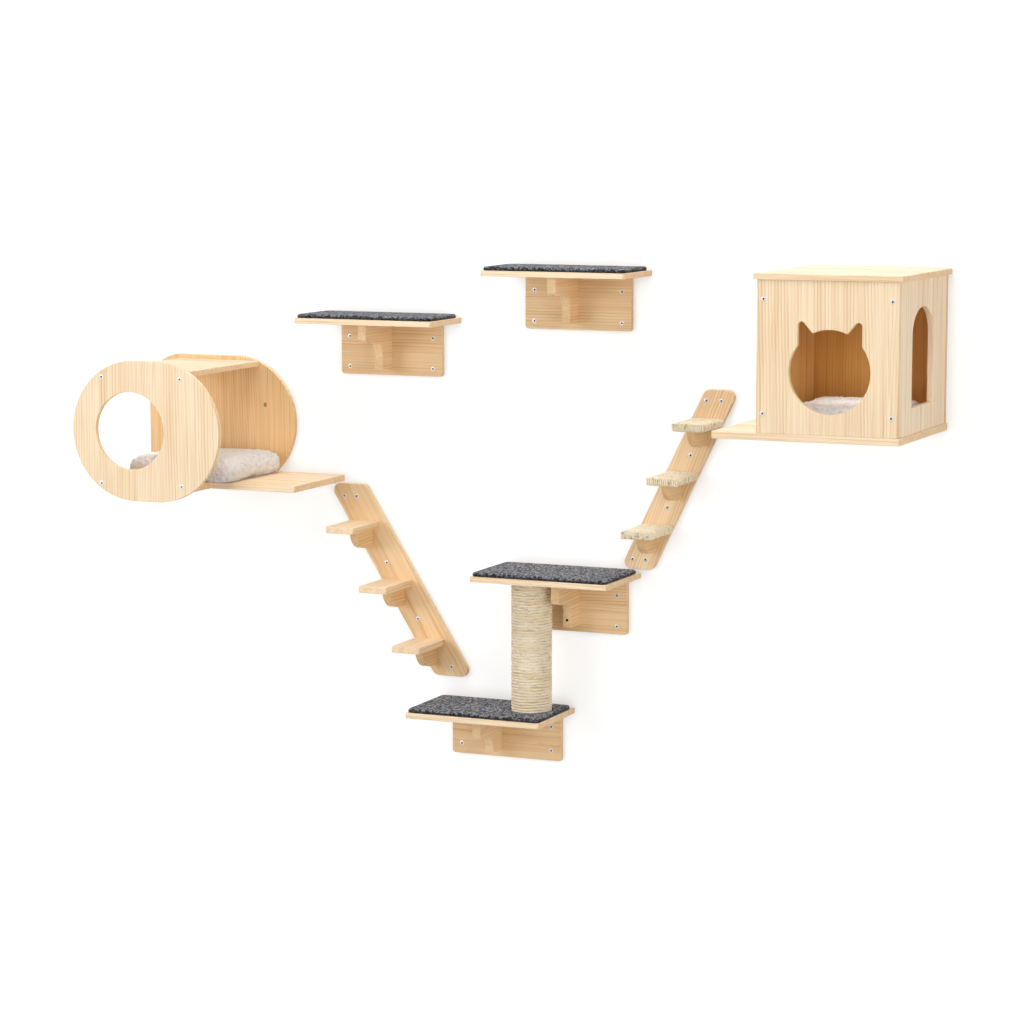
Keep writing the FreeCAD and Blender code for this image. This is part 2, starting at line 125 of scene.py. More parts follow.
class SisalSettings(bpy.types.PropertyGroup):
    rope: FloatProperty(name="Post rope", description="Thickness of the rope on the post",
                        default=0.0080, min=0.004, max=0.015, unit="LENGTH")
    pitch: FloatProperty(name="Post pitch", description="Rise of the rope in one turn",
                         default=0.0077, min=0.004, max=0.02, unit="LENGTH")
    cord: FloatProperty(name="Step cord", description="Thickness of the cord on the steps",
                        default=0.0056, min=0.003, max=0.008, unit="LENGTH")
    lay: FloatProperty(name="Lay", description="Length of one twist, in thicknesses",
                       default=2.9, min=2, max=5)
    bleached: FloatVectorProperty(name="Pale fibre", description="Colour of the pale fibres",
                                  default=(0.99, 0.925, 0.78), **COLOUR)
    straw: FloatVectorProperty(name="Straw fibre", description="Colour of the darker fibres",
                               default=(0.88, 0.72, 0.47), **COLOUR)


class ScrewSettings(bpy.types.PropertyGroup):
    radius: FloatProperty(name="Head radius", description="Radius of a countersunk head",
                          default=0.0063, min=0.002, max=0.008, unit="LENGTH")
    proud: FloatProperty(name="Proud", description="How far a head stands above the wood",
                         default=0.0010, min=0, max=0.002, unit="LENGTH")


class StageSettings(bpy.types.PropertyGroup):
    place: FloatVectorProperty(name="Camera place", description="Where the camera stands",
                               default=(3.3233, -7.598, 1.6821), size=3, subtype="TRANSLATION",
                               unit="LENGTH")
    yaw: FloatProperty(name="Camera yaw", description="Turn of the camera to the left of +Y",
                       subtype="ANGLE", default=math.radians(23.561))
    pitch: FloatProperty(name="Camera pitch", description="Tilt of the camera below the horizon",
                         subtype="ANGLE", default=math.radians(7.352))
    lens: FloatProperty(name="Lens", description="Focal length in mm on a sensor 36 mm wide",
                        default=108.41, min=20, max=400)
    drop: FloatProperty(name="Floor drop", description="How far the floor lies below the set",
                        default=1.15, min=0, max=3, unit="LENGTH")


class WallSettings(bpy.types.PropertyGroup):
    wood: PointerProperty(type=WoodSettings)
    carpet: PointerProperty(type=CarpetSettings)
    plush: PointerProperty(type=PlushSettings)
    sisal: PointerProperty(type=SisalSettings)
    screw: PointerProperty(type=ScrewSettings)
    stage: PointerProperty(type=StageSettings)


def settings():
    return bpy.context.scene.climbing_wall


# Nodes that finishes are made of

class Nodes:
    """The nodes of a material or of the world, and short ways to add to them."""

    def __init__(self, owner):
        owner.use_nodes = True
        self.tree = owner.node_tree
        self.tree.nodes.clear()

    def add(self, kind, inputs=None, **choices):
        """A node with its choices and its inputs, each a value or another node's output."""
        node = self.tree.nodes.new(kind)
        for name, value in choices.items():
            setattr(node, name, value)
        for name, value in (inputs or {}).items():
            self.feed(node.inputs[name], value)
        return node

    def feed(self, socket, value):
        """Gives a socket a value, or joins another node's output to it."""
        if isinstance(value, bpy.types.NodeSocket):
            self.tree.links.new(value, socket)
        else:
            socket.default_value = value

    def calc(self, operation, *values):
        """One step of arithmetic."""
        return self.add("ShaderNodeMath", dict(enumerate(values)), operation=operation).outputs[0]

    def highest(self, first, *others):
        """The highest of several values."""
        for other in others:
            first = self.calc("MAXIMUM", first, other)
        return first

    def distance(self, first, second):
        """The length of the long side of a right triangle."""
        squares = [self.calc("POWER", side, 2.0) for side in (first, second)]
        return self.calc("SQRT", self.calc("ADD", *squares))

    def span(self, value, low, high, to_low=0.0, to_high=1.0, shape="SMOOTHSTEP"):
        """A value's span from low to high, moved to another span and held at its ends."""
        inputs = {"Value": value, "From Min": low, "From Max": high, "To Min": to_low,
                  "To Max": to_high}
        return self.add("ShaderNodeMapRange", inputs, interpolation_type=shape).outputs["Result"]

    def mix(self, share, first, second, blend="MIX"):
        """Two colours mixed by a share."""
        inputs = {0: share, 6: first, 7: second}
        return self.add("ShaderNodeMix", inputs, data_type="RGBA", blend_type=blend).outputs[2]

    def seen(self):
        """1 for rays that show the background, also in metal and through glass, and else 0."""
        path = self.add("ShaderNodeLightPath").outputs
        kinds = ("Is Camera Ray", "Is Glossy Ray", "Is Transmission Ray")
        return self.highest(*(path[kind] for kind in kinds))


class Finish(Nodes):
    """One material, with its shader and its output."""

    def __init__(self, name, **shader):
        self.material = bpy.data.materials.new(name)
        super().__init__(self.material)
        self.shader = self.add("ShaderNodeBsdfPrincipled", shader)
        self.output = self.add("ShaderNodeOutputMaterial", {"Surface": self.shader.outputs[0]})
        self.object = self.add("ShaderNodeTexCoord").outputs["Object"]

    def placed(self, vector, scale=(1, 1, 1), turn=(0, 0, 0), move=(0, 0, 0)):
        """The coordinates, scaled, turned and moved."""
        inputs = {"Vector": vector, "Scale": scale, "Rotation": turn, "Location": move}
        return self.add("ShaderNodeMapping", inputs).outputs[0]

    def noise(self, vector, scale, detail=2.0, roughness=0.5, warp=0.0):
        inputs = {"Vector": vector, "Scale": scale, "Detail": detail, "Roughness": roughness,
                  "Distortion": warp}
        return self.add("ShaderNodeTexNoise", inputs).outputs["Fac"]

    def facing(self, way):
        """How squarely a face looks along a way, from -1 to 1."""
        inputs = {0: self.add("ShaderNodeTexCoord").outputs["Normal"], 1: way}
        return self.add("ShaderNodeVectorMath", inputs, operation="DOT_PRODUCT").outputs["Value"]

    def finish(self, colour, roughness, height, depth, strength):
        """Joins colour, roughness and relief to the shader."""
        relief = {"Height": height, "Distance": depth, "Strength": strength}
        bump = self.add("ShaderNodeBump", relief).outputs[0]
        for socket, value in (("Base Color", colour), ("Roughness", roughness), ("Normal", bump)):
            self.feed(self.shader.inputs[socket], value)
        return self.material


def opaque(colour, strength=1.0):
    """A colour with its alpha, made stronger or weaker."""
    return (*(part * strength for part in colour), 1.0)


# How the logs grew, in metres
PITH_ASIDE = 0.26       # width of the strip in which a stave's pith may lie
PITH_UNDER = 0.05       # least depth of the pith under a board
PITH_RANGE = 0.09       # and how much deeper it may lie
LEAN = 0.09             # largest lean of the grain, as a slope, from one side to the other
SWAY = 0.022            # bends of the trunk
WOBBLE = 0.0030         # small waves of the rings
STAVE_SHIFT = 3.0       # how far along the log two staves may be apart
SEED_STEP = 7.31        # keeps the staves of two boards apart

# How strongly each mark of the wood pulls its colour from pale to warm
LATE_WOOD, STREAKS, STAVES, END_GRAIN = 0.46, 0.30, 0.04, 0.14


def stave_chances(ground, side, stave, seed):
    """Three chances from 0 to 1 that are the same all over one stave."""
    number = ground.calc("FLOOR", ground.calc("DIVIDE", side, stave))
    inputs = {"W": ground.calc("ADD", number, seed * SEED_STEP)}
    chance = ground.add("ShaderNodeTexWhiteNoise", inputs, noise_dimensions="1D").outputs["Color"]
    return ground.add("ShaderNodeSeparateColor", {0: chance}).outputs


def from_pith(ground, side, deep, run, shifted, dice, seed):
    """How far a point lies from the pith of the log that its stave was sawn from."""
    centred = [ground.calc("SUBTRACT", dice[i], 0.5) for i in (0, 1)]
    bends = ground.placed(shifted, scale=(5, 5, 1.5), move=(seed, 0, 0))
    sway = ground.noise(bends, 1.0, detail=1.0)
    lean = ground.calc("MULTIPLY", centred[1], LEAN)
    aside = ground.calc("MULTIPLY_ADD", centred[0], PITH_ASIDE, side)
    aside = ground.calc("MULTIPLY_ADD", run, lean, aside)
    aside = ground.calc("MULTIPLY_ADD", sway, SWAY, aside)
    under = ground.calc("MULTIPLY_ADD", dice[1], PITH_RANGE, PITH_UNDER)
    under = ground.calc("ADD", under, deep)
    far = ground.distance(aside, under)
    return ground.calc("MULTIPLY_ADD", ground.noise(shifted, 34.0, detail=1.0), WOBBLE, far)


def with_knots(ground, side, run, knots, far):
    """Bends the rings round the knots. Returns the bent rings and how dark a knot makes a point."""
    dark = None
    for knot_side, knot_run, radius in knots:
        across = ground.calc("SUBTRACT", side, knot_side)
        along = ground.calc("MULTIPLY", ground.calc("SUBTRACT", run, knot_run), 0.75)
        out = ground.distance(across, along)
        out = ground.calc("MULTIPLY_ADD", ground.noise(ground.object, 160.0), 0.003, out)
        far = ground.calc("ADD", far, ground.span(out, 0.0, radius * 7, radius * 2.2, 0.0))
        spot = ground.span(out, radius * 0.75, radius * 1.45, 1.0, 0.0)
        dark = spot if dark is None else ground.highest(dark, spot)
    return far, dark


def pine(name, along, across, seed, stave, knots, stain_and_shade, painted_shade_side):
    """Pine sawn from staves. Its rings run along one way of the board, its staves lie across."""
    wood = settings().wood
    ground = Finish(name, **{"Specular IOR Level": 0.35})
    through = along.cross(across)
    board = ground.placed(ground.object, turn=Matrix((across, through, along)).to_euler())
    parts = ground.add("ShaderNodeSeparateXYZ", {0: board}).outputs
    side, deep, run = parts[0], parts[1], parts[2]
    dice = stave_chances(ground, side, stave, seed)
    shifted = {0: side, 1: deep, 2: ground.calc("MULTIPLY_ADD", dice[2], STAVE_SHIFT, run)}
    shifted = ground.add("ShaderNodeCombineXYZ", shifted).outputs[0]

    def drawn_out(scale, move=(0, 0, 0), **choices):
        """Noise drawn out along the grain."""
        return ground.noise(ground.placed(shifted, scale=scale, move=move), 1.0, **choices)

    # Rings: pale early wood that darkens to a line of late wood and then breaks off
    far = from_pith(ground, side, deep, run, shifted, dice, seed)
    far, dark = with_knots(ground, side, run, knots, far)
    ring = ground.calc("FRACT", ground.calc("DIVIDE", far, wood.ring))
    late = ground.calc("MULTIPLY", ground.span(ring, 0.42, 0.88),
                       ground.span(ring, 0.90, 1.0, 1.0, 0.0))
    weight = drawn_out((32, 32, 1.6), (seed, seed, 0))
    late = ground.calc("MULTIPLY", late, ground.span(weight, 0.35, 0.62, 0.25, 1.15))
    fibre = drawn_out((420, 420, 7), roughness=0.6)
    streak = drawn_out((85, 85, 2.2), (0, seed, 0), roughness=0.55)
    cloud = drawn_out((9, 9, 2.5), (0, seed, seed), detail=1.0)
    end = ground.span(ground.calc("ABSOLUTE", ground.facing(along)), 0.6, 0.95)
    late = ground.calc("MULTIPLY", late, ground.span(end, 0.0, 1.0, 1.0, 0.3))

    # Colour between pale and warm
    tone = ground.span(streak, 0.38, 0.70, 0.0, STREAKS)
    tone = ground.calc("MULTIPLY_ADD", late, LATE_WOOD, tone)
    tone = ground.calc("ADD", tone, ground.span(fibre, 0.30, 0.75, -0.08, 0.16))
    tone = ground.calc("ADD", tone, ground.span(cloud, 0.3, 0.7, -0.06, 0.08))
    own = ground.calc("MULTIPLY", ground.calc("SUBTRACT", dice[0], 0.5), STAVES)
    tone = ground.calc("MULTIPLY_ADD", end, END_GRAIN, ground.calc("ADD", tone, own))
    share = ground.span(tone, 0.0, 1.0, shape="LINEAR")
    colour = ground.mix(share, opaque(wood.pale), opaque(wood.warm))

    # Honey: painted shade on the narrow flanks that look to the sides; and, on the boards in the
    # table, a darker stain with painted shade, kept off their tops, which stay pale as painted
    # light
    painted_flank_shade = 0.0
    if abs(through.x) <= 0.5:
        painted_flank_shade = ground.span(ground.calc("ABSOLUTE", ground.facing(X)), 0.5, 0.95, 0.0, 0.45)
    # Darker stain with painted shade from the table, kept off the tops, which stay pale as painted
    # light
    stained_and_shaded = ground.span(ground.facing(Z), 0.2, 0.7, min(stain_and_shade, 1.0), 0.0)
    if painted_shade_side:
        stained_and_shaded = ground.calc("MULTIPLY", stained_and_shaded, ground.span(ground.facing(painted_shade_side), 0.3, 0.7))
    honey = opaque([part ** max(stain_and_shade, 1.0) for part in wood.honey])
    honeyed = ground.mix(1.0, colour, honey, "MULTIPLY")
    colour = ground.mix(ground.highest(painted_flank_shade, stained_and_shaded), colour, honeyed)
    if dark is not None:
        colour = ground.mix(ground.calc("MULTIPLY", dark, 0.85), colour, opaque(wood.knot))

    roughness = ground.span(fibre, 0.2, 0.8, 0.46, 0.60)
    height = ground.calc("MULTIPLY_ADD", fibre, 0.6, late)
    return ground.finish(colour, roughness, height, depth=0.00018, strength=0.55)


def painted_bore_shade(name):
    """Painted shade deep in a bore, where hardly any light comes: near-black raw wood."""
    ground = Finish(name, **{"Specular IOR Level": 0.1})
    fibre = ground.noise(ground.object, 900.0)
    colour = ground.mix(fibre, opaque((0.02, 0.011, 0.006)), opaque((0.05, 0.03, 0.016)))
    return ground.finish(colour, 1.0, fibre, depth=0.0002, strength=0.3)


def carpet_finish(name, seed):
    """Heathered loop carpet: charcoal yarn with pale flecks, and painted shade where the loops part
    and on all but the pad's top.
    """
    carpet = settings().carpet
    ground = Finish(name, **{"Sheen Weight": 0.08, "Sheen Roughness": 0.6,
                             "Specular IOR Level": 0.15})
    yarn, painted_gap_shade = opaque(carpet.yarn), opaque(carpet.yarn, 0.3)
    vector = ground.placed(ground.object, scale=(0.9, 0.4, 1), move=(seed, seed, 0))
    loops = ground.noise(vector, 230.0, roughness=0.6, warp=0.5)
    flecks = ground.noise(vector, 190.0, roughness=0.6, warp=0.3)
    patch = ground.noise(vector, 26.0)
    colour = ground.mix(ground.span(flecks, 0.46, 0.56), yarn, opaque(carpet.fleck))
    # Painted shade where the loops part
    colour = ground.mix(ground.span(loops, 0.46, 0.36, 0.0, 0.8), colour, painted_gap_shade)
    colour = ground.mix(ground.span(patch, 0.35, 0.7, 0.0, 0.2), colour, yarn)
    # Painted shade on all but the top of the pad
    colour = ground.mix(ground.span(ground.facing(Z), 0.75, -0.1, 0.0, 0.75), colour, painted_gap_shade)
    height = ground.calc("MULTIPLY_ADD", flecks, 0.4, loops)
    return ground.finish(colour, 0.93, height, depth=0.0016, strength=0.9)


def plush_finish(name, seed):
    """Off-white fleece: pale curls, with painted shade in the hollows between them, and broad
    smudges of that colour at random.
    """
    plush = settings().plush
    ground = Finish(name, **{"Sheen Weight": 0.35, "Sheen Roughness": 0.5,
                             "Specular IOR Level": 0.1, "Subsurface Weight": 0.15,
                             "Subsurface Scale": 0.006})
    hollow_shade_and_smudge = opaque(plush.hollow_shade_and_smudge)
    vector = ground.placed(ground.object, move=(seed, 0, seed))
    inputs = {"Vector": vector, "Scale": 105.0, "Randomness": 1.0}
    curls = ground.add("ShaderNodeTexVoronoi", inputs, feature="SMOOTH_F1").outputs["Distance"]
    hair = ground.noise(vector, 700.0, detail=3.0, roughness=0.7, warp=1.2)
    drift = ground.noise(vector, 30.0)
    # Painted shade in the hollows between the curls; the drift below darkens at random
    share = ground.calc("MULTIPLY_ADD", hair, 0.30, ground.span(curls, 0.30, 0.80, 0.0, 0.7))
    colour = ground.mix(share, opaque(plush.fleece), hollow_shade_and_smudge)
    colour = ground.mix(ground.span(drift, 0.35, 0.7, 0.0, 0.10), colour, hollow_shade_and_smudge)
    height = ground.calc("SUBTRACT", hair, curls)
    return ground.finish(colour, 1.0, height, depth=0.0022, strength=0.9)


def sisal_finish(name, grain, depth):
    """Sisal fibre, bleached to straw, with painted shade in the gaps. Grain is how the fibres lie,
    depth how dark that painted shade is.
    """
    sisal = settings().sisal
    ground = Finish(name, **{"Sheen Weight": 0.1, "Specular IOR Level": 0.25})
    strand = ground.placed(ground.object, scale=grain)
    fibre = ground.noise(strand, 1.0, detail=3.0, roughness=0.65, warp=0.3)
    tuft = ground.noise(ground.object, 210.0, roughness=0.6, warp=0.5)
    drift = ground.noise(ground.placed(ground.object, scale=(9, 9, 60)), 1.0)
    share = ground.calc("ADD", ground.span(drift, 0.3, 0.7, -0.1, 0.3),
                        ground.span(fibre, 0.3, 0.72, 0.0, 0.75))
    share = ground.span(ground.calc("MULTIPLY_ADD", tuft, 0.35, share), 0.1, 1.1, shape="LINEAR")
    colour = ground.mix(share, opaque(sisal.bleached), opaque(sisal.straw))
    # Painted shade in the gaps between the fibres and turns
    gap_shade_mask = ground.noise(strand, 0.6, roughness=0.7, warp=0.6)
    shade = opaque([part ** 1.8 for part in sisal.straw], 0.42)
    colour = ground.mix(ground.span(gap_shade_mask, 0.56, 0.68, 0.0, depth), colour, shade)
    height = ground.calc("ADD", fibre, tuft)
    return ground.finish(colour, 0.82, height, depth=0.0009, strength=0.7)


def steel_finish(name, painted_shade_factor):
    """Zinc-plated steel, finely turned. A painted shade factor below 1 darkens it, as painted shade
    in a recess.
    """
    ground = Finish(name, **{"Metallic": 1.0})
    scratch = ground.noise(ground.placed(ground.object, scale=(300, 300, 2600)), 1.0)
    colour = ground.mix(scratch, opaque([0.50] * 3, painted_shade_factor), opaque([0.75] * 3, painted_shade_factor))
    roughness = ground.span(scratch, 0.2, 0.8, 0.45, 0.6)
    return ground.finish(colour, roughness, scratch, depth=0.00005, strength=0.5)


# Modelling by hand, in small steps

def take(piece):
    """Selects one object alone and makes it the active one."""
    if bpy.context.object and bpy.context.object.mode != "OBJECT":
        done()
    drop_selection()
    piece.select_set(True)
    bpy.context.view_layer.objects.active = piece
    return piece


def drop_selection():
    """Nothing is selected, so that a new primitive stands alone."""
    bpy.ops.object.select_all(action="DESELECT")


def done():
    bpy.ops.object.mode_set(mode="OBJECT")


def added(operator, **choices):
    """The object that a primitive operator adds, its place already in its mesh."""
    drop_selection()
    operator(**choices)
    piece = bpy.context.object
    bpy.ops.object.transform_apply(location=True, rotation=True, scale=True)
    return piece


def block(low, high):
    """A block between two corners."""
    low, high = Vector(low), Vector(high)
    return added(bpy.ops.mesh.primitive_cube_add, size=1, location=(low + high) / 2,
                 scale=high - low)


def disc(radius, depth, place, sides, **choices):
    """An upright cylinder, or one that a rotation lays down."""
    return added(bpy.ops.mesh.primitive_cylinder_add, vertices=sides, radius=radius, depth=depth,
                 location=place, **choices)


def pick(piece, kind, chosen):
    """In edit mode, selects the vertices, edges or faces that a test accepts."""
    take(piece)
    bpy.ops.object.mode_set(mode="EDIT")
    modes = {"vertices": "VERT", "edges": "EDGE", "polygons": "FACE"}
    bpy.ops.mesh.select_mode(type=modes[kind])
    bpy.ops.mesh.select_all(action="DESELECT")
    bpy.ops.object.mode_set(mode="OBJECT")
    for part in getattr(piece.data, kind):
        part.select = chosen(part)
    bpy.ops.object.mode_set(mode="EDIT")


def everything(part):
    """The test that accepts all."""
    return True


def bevelled(piece, chosen, offset, segments):
    """Rounds off the edges whose two ends a test accepts."""
    pick(piece, "edges", lambda edge: chosen(*(piece.data.vertices[i].co for i in edge.vertices)))
    bpy.ops.mesh.bevel(offset=offset, segments=segments)
    done()
    return piece


def upright(start, end):
    """The test for edges that climb."""
    return abs((start - end).z) > 0.001


def level(start, end):
    """The test for edges that lie flat."""
    return abs((start - end).z) < 0.001


def live(piece, kind, label, **choices):
    """A modifier with its choices, left live."""
    modifier = piece.modifiers.new(label, kind)
    for name, value in choices.items():
        setattr(modifier, name, value)
    return modifier


def modified(piece, kind, **choices):
    """A modifier with its choices, applied."""
    take(piece)
    bpy.ops.object.modifier_apply(modifier=live(piece, kind, kind.lower(), **choices).name)
    return piece


def ruffled(piece, label, size, strength, mid_level=0.5, texture="CLOUDS", direction="NORMAL"):
    """Moves a surface in and out by a texture that no material uses."""
    lumps = bpy.data.textures.new(label, texture)
    lumps.noise_scale = size
    return modified(piece, "DISPLACE", texture=lumps, strength=strength, mid_level=mid_level,
                    direction=direction)


def row(piece, count, step):
    """Repeats a piece in a straight row."""
    return modified(piece, "ARRAY", count=count, use_relative_offset=False,
                    use_constant_offset=True, constant_offset_displace=step)


def moved(piece, move):
    """Shifts a piece's mesh."""
    for vertex in piece.data.vertices:
        vertex.co += move
    return piece


def held(piece, low, high):
    """Holds every point of a piece between two corners."""
    for vertex in piece.data.vertices:
        for axis in range(3):
            vertex.co[axis] = min(max(vertex.co[axis], low[axis]), high[axis])
    return piece


def smoothed(piece):
    """Shades a piece smooth all over."""
    take(piece)
    bpy.ops.object.shade_smooth()
    return piece


def cut(piece, tool):
    """Cuts one body out of another, and throws the tool away."""
    modified(piece, "BOOLEAN", operation="DIFFERENCE", object=tool, solver="EXACT")
    bpy.data.objects.remove(tool)
    return piece


def joined(pieces):
    """Several objects made into one."""
    take(pieces[0])
    for piece in pieces[1:]:
        piece.select_set(True)
    bpy.ops.object.join()
    return bpy.context.object


def kept(piece, name, material, slot, body, *nodes):
    """Names and finishes a piece, and lets it ride in place of the nodes it stands for."""
    piece.name = name
    piece.data.name = name
    piece.data.materials.clear()
    piece.data.materials.append(material)
    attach(piece, body)
    if nodes:
        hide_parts(*nodes)
    return piece


# Boards

PANEL, PLATE, PLANK = 0.085, 0.076, 0.5     # widths of staves; a plank is a single one
LADDER_WIDTHS = {"left_ladder_board": 0.114, "right_ladder_board": 0.093}

# Grain, staves and their width, by the first of these that is in a node's name
SAWN = {
    "_bracket": (Y, X, PLANK), "_step_": (Y, X, PLANK), "_corbels": (Y, Z, PLANK),
    "_wall_plate": (X, Z, PLATE), "post_core": (Z, X, PLANK), "_board": (X, Y, PANEL),
    "house_left_panel": (Z, Y, PANEL), "house_right_panel": (Z, Y, PANEL),
    "_panel": (Z, X, PANEL),
}

# Places across and along the board, and radius
KNOTS = {"tunnel_wall_panel": [(-0.735, 0.878, 0.0055)]}

# X and Z of the axis, and how far round it the bore's own faces lie
BORES = {"post_top_shelf_bracket": (0.204, 0.340, 0.0034)}

# How honey-coloured a board is, by the end of its name: up to 1, and past 1 for the darkest. On the
# ladders, plates and brackets it is a darker board; on the corbels and the tunnel's wall panel
# partly a darker board and partly painted shade; on the house's back and left panels painted shade
# inside the house
STAIN_AND_SHADE = {
    "left_ladder_board": 0.5, "right_ladder_board": 0.3, "corbels": 0.75, "wall_plate": 0.5,
    "bracket": 0.5, "wall_panel": 0.75, "house_back_panel": 1.7, "house_left_panel": 1.4,
}

# The one side that takes the painted shade inside the house, where the others are pale
PAINTED_SHADE_SIDES = {"house_back_panel": -Y, "house_left_panel": X}


def lean_of(node):
    """The way that a ladder's board runs, from its lower to its upper end."""
    mesh = frame["nodes"][node].data
    low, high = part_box(node)
    third = (high.z - low.z) / 3
    foot = [v.co.x for v in mesh.vertices if v.co.z < low.z + third]
    head = [v.co.x for v in mesh.vertices if v.co.z > high.z - third]
    side = 1 if sum(head) / len(head) > sum(foot) / len(foot) else -1
    run = high.x - low.x - LADDER_WIDTHS[node]
    return Vector((side * run, 0, high.z - low.z)).normalized()


def board_ways():
    """How each wood node is sawn: the way of its grain, the way its staves lie, their width."""
    ways = {}
    for node in frame["nodes"]:
        mark = next((mark for mark in SAWN if mark in node), None)
        if node in LADDER_WIDTHS:
            along = lean_of(node)
            ways[node] = (along, along.cross(Y), PLANK)
        elif mark:
            ways[node] = SAWN[mark]
    return ways


class WALL_OT_boards(bpy.types.Operator):
    """Finish every board, plate, bracket and step in pine and sand its edges round"""
    bl_idname = "climbing_wall.boards"
    bl_label = "Pine boards"

    def execute(self, context):
        wood = settings().wood
        for seed, (node, (along, across, stave)) in enumerate(sorted(board_ways().items()), 1):
            board = frame["nodes"][node]
            stain_and_shade = next((STAIN_AND_SHADE[end] for end in STAIN_AND_SHADE if node.endswith(end)), 0.0)
            board.data.materials.clear()
            board.data.materials.append(pine(f"pine_{node}", along, across, seed, stave,
                                             KNOTS.get(node, ()), stain_and_shade, PAINTED_SHADE_SIDES.get(node)))
            # The faces in the bore get near-black painted shade
            if node in BORES:
                board.data.materials.append(painted_bore_shade(f"bore_{node}"))
                x, z, reach = BORES[node]
                for face in board.data.polygons:
                    out = math.hypot(face.center.x - x, face.center.z - z)
                    face.material_index = int(out < reach)
            live(board, "WELD", "merge", merge_threshold=0.00001)
            live(board, "DECIMATE", "flat faces", decimate_type="DISSOLVE",
                 angle_limit=math.radians(0.6))
            live(board, "BEVEL", "sanded edges", width=wood.edge, segments=3, limit_method="ANGLE",
                 angle_limit=math.radians(50), use_clamp_overlap=False, harden_normals=True)
        return {"FINISHED"}


# Carpet pads

SHELVES = ("left_shelf", "middle_shelf", "post_top_shelf", "post_foot_shelf")
POST_HOLE = 0.0572          # radius of the hole in the lower pad that the post stands in
ROLL, TUCK = 0.5, 0.16      # shares of a pad's thickness in its rolled top edge and at its foot


def carpet_body(low, high):
    """A pad with rounded corners, its upper edge rolled over and its foot drawn in."""
    thickness = high.z - low.z
    pad = block(low, high)
    top = lambda start, end: min(start.z, end.z) > high.z - HAIR
    foot = lambda start, end: max(start.z, end.z) < low.z + HAIR
    bevelled(pad, upright, settings().carpet.corner, segments=8)
    bevelled(pad, top, thickness * ROLL, segments=4)
    bevelled(pad, foot, thickness * TUCK, segments=1)
    return pad


class WALL_OT_carpet_pads(bpy.types.Operator):
    """Model the four carpet pads with rolled edges and a looped pile"""
    bl_idname = "climbing_wall.carpet_pads"
    bl_label = "Carpet pads"

    def execute(self, context):
        carpet = settings().carpet
        core_low, core_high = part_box("post_core")
        for seed, shelf in enumerate(SHELVES):
            node = f"{shelf}_pad"
            low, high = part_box(node)
            pad = carpet_body(low, high)
            if shelf == "post_foot_shelf":
                centre = (core_low + core_high) / 2
                cut(pad, disc(POST_HOLE, 0.06, (centre.x, centre.y, low.z), sides=96))
            modified(pad, "REMESH", mode="VOXEL", voxel_size=carpet.grain)
            modified(pad, "SMOOTH", factor=0.5, iterations=3)
            ruffled(pad, "carpet waves", size=0.06, strength=0.0012, mid_level=0.6, direction="Z")
            ruffled(pad, "carpet loops", size=0.0042, strength=carpet.pile, mid_level=0.62)
            for vertex in pad.data.vertices:
                vertex.co.z = max(vertex.co.z, low.z)
            finish = carpet_finish(f"carpet_{shelf}", seed * 1.7)
            kept(smoothed(pad), f"{shelf}_carpet", finish, "carpet", FRAME_BODY, node)
        return {"FINISHED"}


# Plush cushions

START_INSET = Vector((0.010, 0.010, 0.006))     # how far inside its space a cushion starts
CUSHION_CORNER, CUSHION_RIM = 0.032, 0.020      # its radii in plan and along its edges
SIDE_REACH = Vector((0.0015, 0.0015, 0))        # how far its fleece may stand out at the sides
TOP_REACH = Vector((0, 0, 0.004))               # and at the top
CLOTH = {"quality": 4, "mass": 0.3, "tension_stiffness": 12, "compression_stiffness": 12,
         "shear_stiffness": 6, "bending_stiffness": 0.4, "use_pressure": True}
FILLING_STEPS = 20


def cushion_body(low, high):
    """A soft block with rounded corners and edges, smaller than the space it will fill."""
    cushion = block(low + START_INSET, high - START_INSET)
    bevelled(cushion, upright, CUSHION_CORNER, segments=6)
    bevelled(cushion, level, CUSHION_RIM, segments=4)
    return modified(cushion, "REMESH", mode="VOXEL", voxel_size=settings().plush.voxel)


def filled(cushion):
    """Pumps the cushion up as cloth, holds every point to the swell and keeps the result."""
    plush = settings().plush
    rest = [vertex.co.copy() for vertex in cushion.data.vertices]
    cloth = live(take(cushion), "CLOTH", "cloth")
    for name, value in CLOTH.items():
        setattr(cloth.settings, name, value)
    cloth.settings.uniform_pressure_force = plush.pressure
    cloth.settings.effector_weights.gravity = 0
    cloth.point_cache.frame_start = 1
    cloth.point_cache.frame_end = FILLING_STEPS
    scene = bpy.context.scene
    for step in range(1, FILLING_STEPS + 1):
        scene.frame_set(step)
    bpy.ops.object.modifier_apply(modifier=cloth.name)
    scene.frame_set(1)
    for vertex, start in zip(cushion.data.vertices, rest):
        move = vertex.co - start
        if move.length > plush.swell:
            vertex.co = start + move.normalized() * plush.swell
    return cushion


def fleeced(cushion, low, high):
    """Gives a cushion its curls: coarse lumps and small tufts, flat where it lies on the board."""
    tuft = settings().plush.tuft
    modified(cushion, "SMOOTH", factor=0.5, iterations=4)
    modified(cushion, "SUBSURF", levels=1, render_levels=1)
    ruffled(cushion, "fleece swell", size=0.05, strength=0.004)
    ruffled(cushion, "fleece curls", size=0.011, strength=-tuft, mid_level=0.45,
            texture="VORONOI")
    ruffled(cushion, "fleece tufts", size=0.005, strength=tuft * 0.55)
    return smoothed(held(cushion, low - SIDE_REACH, high + SIDE_REACH + TOP_REACH))


